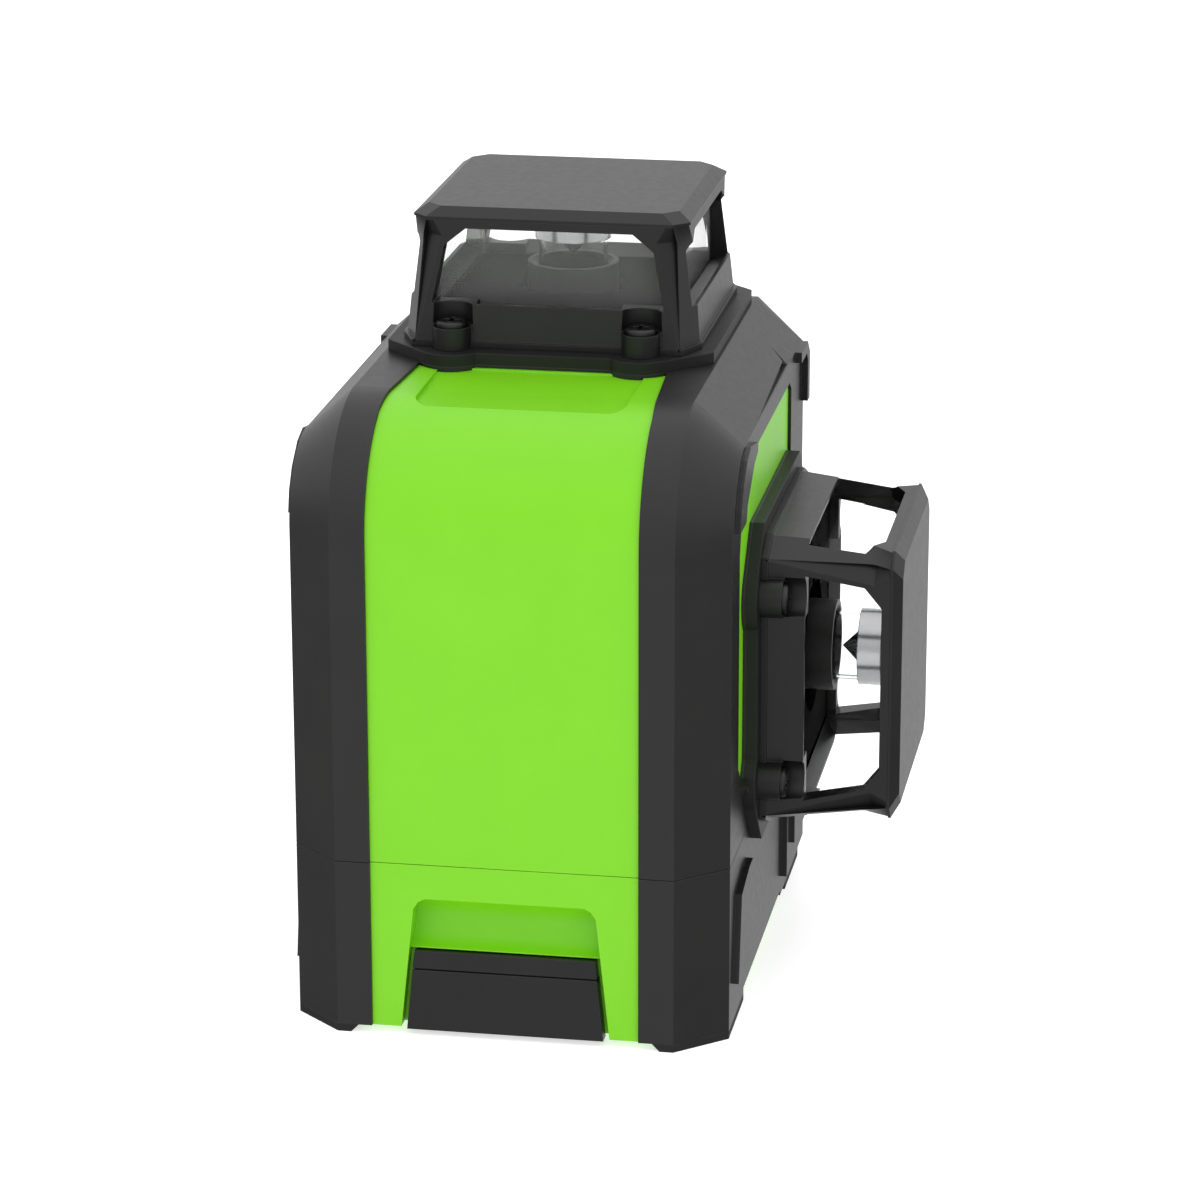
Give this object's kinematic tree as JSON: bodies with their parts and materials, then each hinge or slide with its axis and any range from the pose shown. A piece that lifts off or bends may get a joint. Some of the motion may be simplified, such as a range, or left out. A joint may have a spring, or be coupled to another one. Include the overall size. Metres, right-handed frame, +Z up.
{
  "type": "line laser level",
  "caption": "Self-levelling line laser level: boxy overmoulded body, all-round window heads on top and front, gimballed laser pendulum, keypad, pendulum lock and slide-out battery.",
  "frame": {"origin": "centre of the tripod thread's mouth at floor level, on the plumb axis of the upper laser", "axes": "+Z up, -Y out through the front window head, -X out through the battery end"},
  "size_m": [0.1086, 0.1067, 0.1386],
  "materials": {
    "green_housing": "fine spark-eroded texture",
    "black_overmould": "soft-touch, fine grain",
    "foot_rubber": "matt",
    "seal_rubber": "matt",
    "black_plastic": "fine texture",
    "inner_plastic": "moulded",
    "button_rubber": "soft",
    "lens_plastic": "polished",
    "window_glass": "clear, polished",
    "tube_glass": "clear, polished",
    "mirror_silver": "polished",
    "turned_aluminium": "fine turned",
    "black_barrel": "black anodised",
    "black_screws": "black oxide",
    "steel": "ground",
    "brass": "turned",
    "zinc_casting": "die cast",
    "gimbal_aluminium": "machined",
    "copper": "turned",
    "magnet": "nickel plated",
    "board": "lacquered"
  },
  "bodies": {
    "body": {"upper_housing": "green_housing", "upper_overmould": "black_overmould", "base_housing": "green_housing", "base_overmould": "black_overmould", "body_seal": "seal_rubber", "feet": "foot_rubber", "tripod_bushing": "brass", "housing_screws": "black_screws", "inner_frame": "inner_plastic", "frame_screws": "black_screws", "frame_bearings": "steel", "damping_magnet": "magnet", "lock_guide": "brass", "keypad_panel": "black_plastic", "led_lenses": "lens_plastic", "keypad_board": "board", "main_board": "board", "charging_socket": "steel", "charging_board": "board", "battery_contacts": "brass", "top_window_gasket": "seal_rubber", "top_window_plate": "black_plastic", "top_window_frame": "black_plastic", "top_window_glass": "window_glass", "top_window_cap": "black_plastic", "top_window_screws": "black_screws", "front_window_gasket": "seal_rubber", "front_window_plate": "black_plastic", "front_window_frame": "black_plastic", "front_window_glass": "window_glass", "front_window_cap": "black_plastic", "front_window_screws": "black_screws"},
    "gimbal": {"gimbal_ring": "gimbal_aluminium", "ring_pins": "steel", "ring_bearings": "steel"},
    "pendulum": {"pendulum_body": "zinc_casting", "pendulum_pins": "steel", "trim_screws": "brass", "damping_plate": "copper", "top_laser_barrel": "black_barrel", "top_laser_lens": "tube_glass", "top_laser_tube": "tube_glass", "top_mirror_ring": "turned_aluminium", "top_mirror_cone": "mirror_silver", "front_laser_barrel": "black_barrel", "front_laser_lens": "tube_glass", "front_laser_tube": "tube_glass", "front_mirror_ring": "turned_aluminium", "front_mirror_cone": "mirror_silver"},
    "lock": {"lock_slider": "black_plastic", "lock_cam": "inner_plastic"},
    "lock_pin": {"lock_plunger": "steel"},
    "power_key": {"power_button": "button_rubber"},
    "level_line_key": {"level_line_button": "button_rubber"},
    "plumb_line_key": {"plumb_line_button": "button_rubber"},
    "battery": {"battery_pack": "black_plastic", "battery_pack_front": "black_plastic"},
    "latch": {"battery_latch": "black_plastic"},
    "flap": {"port_flap": "seal_rubber"}
  },
  "joints": [
    {"name": "gimbal_roll", "type": "hinge", "parent": "body", "child": "gimbal", "pos_m": [0, 0, 0.101], "axis": [1, 0, 0], "range_deg": [-3, 3]},
    {"name": "pendulum_pitch", "type": "hinge", "parent": "gimbal", "child": "pendulum", "pos_m": [0, 0, 0.101], "axis": [0, 1, 0], "range_deg": [-3, 3]},
    {"name": "lock_slide", "type": "slide", "parent": "body", "child": "lock", "axis": [1, 0, 0], "range_m": [0, 0.006]},
    {"name": "lock_pin_lift", "type": "slide", "parent": "body", "child": "lock_pin", "axis": [0, 0, 1], "range_m": [0, 0.0016]},
    {"name": "power_press", "type": "slide", "parent": "body", "child": "power_key", "axis": [0, -1, 0], "range_m": [0, 0.0008], "stiffness_N_per_m": 900, "springref_m": -0.0004},
    {"name": "level_line_press", "type": "slide", "parent": "body", "child": "level_line_key", "axis": [0, -1, 0], "range_m": [0, 0.0008], "stiffness_N_per_m": 900, "springref_m": -0.0004},
    {"name": "plumb_line_press", "type": "slide", "parent": "body", "child": "plumb_line_key", "axis": [0, -1, 0], "range_m": [0, 0.0008], "stiffness_N_per_m": 900, "springref_m": -0.0004},
    {"name": "battery_slide", "type": "slide", "parent": "body", "child": "battery", "axis": [-1, 0, 0], "range_m": [0, 0.065]},
    {"name": "latch_press", "type": "hinge", "parent": "battery", "child": "latch", "pos_m": [-0.0697, 0, 0.01255], "axis": [0, 1, 0], "range_deg": [0, 8], "stiffness_Nm_per_rad": 0.05, "springref_deg": -2.86},
    {"name": "flap_open", "type": "hinge", "parent": "body", "child": "flap", "pos_m": [0.03605, 0, 0.02175], "axis": [0, -1, 0], "range_deg": [0, 100]}
  ],
  "couplings": [
    {"joint": "lock_pin_lift", "follows": "lock_slide", "ratio": 0.2666}
  ]
}
